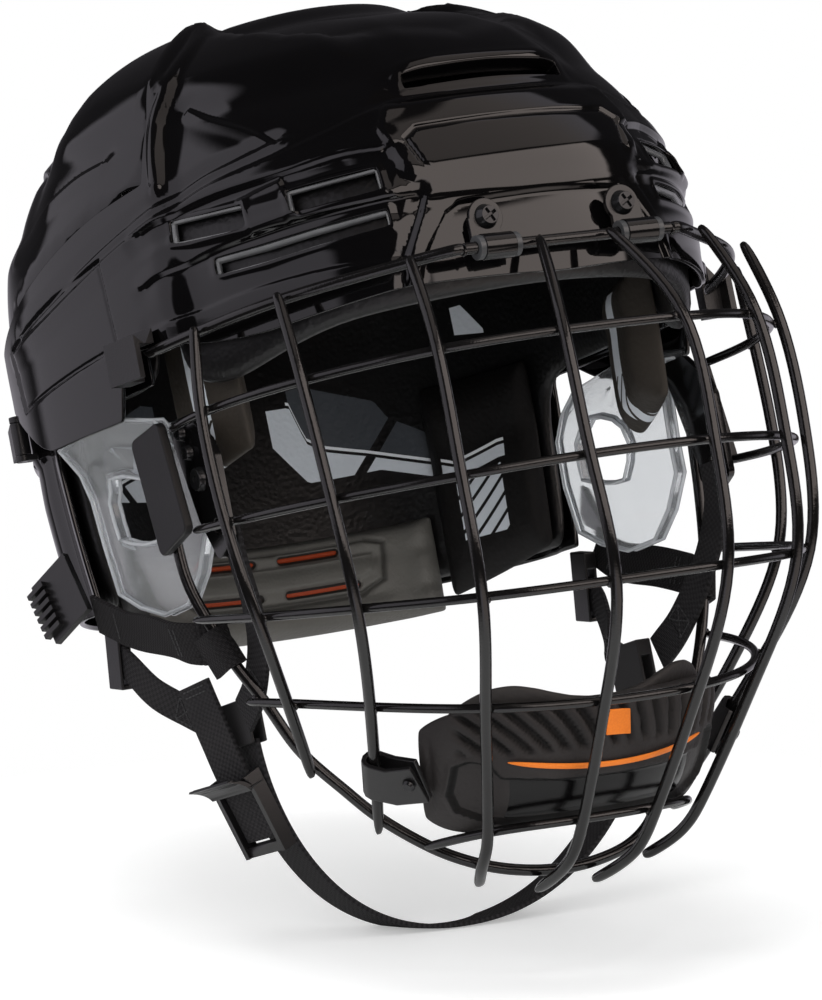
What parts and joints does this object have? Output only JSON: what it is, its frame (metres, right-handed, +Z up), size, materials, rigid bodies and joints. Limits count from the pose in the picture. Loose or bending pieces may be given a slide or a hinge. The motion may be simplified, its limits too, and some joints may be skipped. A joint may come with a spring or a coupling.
{
  "type": "multi-sport helmet",
  "caption": "Multi-sport helmet with vented sliding shell, foam lining, hinged wire face cage with chin cup, size locks, clear ear guards and chin strap.",
  "frame": {"origin": "centre of the head cavity at the height of the brow band", "axes": "+Z up, -Y the way the face looks, +X the wearer's left"},
  "size_m": [0.2328, 0.308, 0.3138],
  "materials": {
    "shell_gloss": "moulded, polished",
    "impact_foam": "closed-cell foam",
    "comfort_foam": "soft foam with channels",
    "clear_plastic": "clear polycarbonate",
    "fitting_plastic": "moulded, satin",
    "fastener_steel": "blackened steel",
    "cage_wire": "steel wire, black coat",
    "webbing": "woven nylon",
    "cup_foam": "soft ribbed foam",
    "trim_orange": "piping"
  },
  "bodies": {
    "helmet": {"front_shell": "shell_gloss", "front_liner": "impact_foam", "brow_pad": "comfort_foam", "crown_pad": "comfort_foam", "temple_pad_right": "comfort_foam", "temple_pad_left": "comfort_foam", "ear_guard_right": "clear_plastic", "ear_guard_left": "clear_plastic", "temple_bracket_right": "fitting_plastic", "temple_bracket_left": "fitting_plastic", "temple_screws_right": "fastener_steel", "temple_screws_left": "fastener_steel", "j_clip_right": "fitting_plastic", "j_clip_left": "fitting_plastic", "top_clip_right": "fitting_plastic", "top_clip_left": "fitting_plastic", "clip_rings": "fastener_steel", "clip_screws": "fastener_steel", "front_webbing_right": "webbing", "front_webbing_left": "webbing", "rear_webbing_right": "webbing", "rear_webbing_left": "webbing", "webbing_hooks": "fitting_plastic", "webbing_patches": "webbing"},
    "rear_half": {"rear_shell": "shell_gloss", "rear_liner": "impact_foam", "rear_side_pad_right": "comfort_foam", "rear_side_pad_left": "comfort_foam", "occipital_pad": "comfort_foam", "size_lock_pins": "fastener_steel", "size_lock_ears": "fitting_plastic"},
    "size_lock_right": {"size_lock_right": "fitting_plastic"},
    "size_lock_left": {"size_lock_left": "fitting_plastic"},
    "cage": {"cage_top_bar": "cage_wire", "cage_top_arms": "cage_wire", "cage_wires_right": "cage_wire", "cage_wires_left": "cage_wire", "cage_cross_upper": "cage_wire", "cage_cross_lower": "cage_wire", "cage_border": "cage_wire", "side_plate_right": "fitting_plastic", "side_plate_left": "fitting_plastic", "side_strap_right": "webbing", "side_strap_left": "webbing", "grip_tab_right": "fitting_plastic", "grip_tab_left": "fitting_plastic", "chin_cup_shell": "fitting_plastic", "chin_cup_pad": "cup_foam", "chin_cup_trim": "trim_orange", "cup_clip_right": "fitting_plastic", "cup_clip_left": "fitting_plastic", "cup_rivets": "fastener_steel"},
    "chin_loop": {"chin_loop": "webbing", "webbing_tail": "webbing", "ladder_buckle": "fitting_plastic", "webbing_keeper": "fitting_plastic"}
  },
  "joints": [
    {"name": "size_slide", "type": "slide", "parent": "helmet", "child": "rear_half", "axis": [0, 1, 0], "range_m": [0, 0.012]},
    {"name": "lock_right_hinge", "type": "hinge", "parent": "rear_half", "child": "size_lock_right", "pos_m": [-0.1018, 0.072, -0.012], "axis": [0, 0, 1], "range_deg": [0, 60]},
    {"name": "lock_left_hinge", "type": "hinge", "parent": "rear_half", "child": "size_lock_left", "pos_m": [0.1018, 0.072, -0.012], "axis": [0, 0, -1], "range_deg": [0, 60]},
    {"name": "cage_hinge", "type": "hinge", "parent": "helmet", "child": "cage", "pos_m": [0, -0.139, -0.0015], "axis": [-1, 0, 0], "range_deg": [0, 90]},
    {"name": "chin_loop_swing", "type": "hinge", "parent": "helmet", "child": "chin_loop", "pos_m": [0, 0, -0.126], "axis": [1, 0, 0], "range_deg": [-15, 30]}
  ]
}
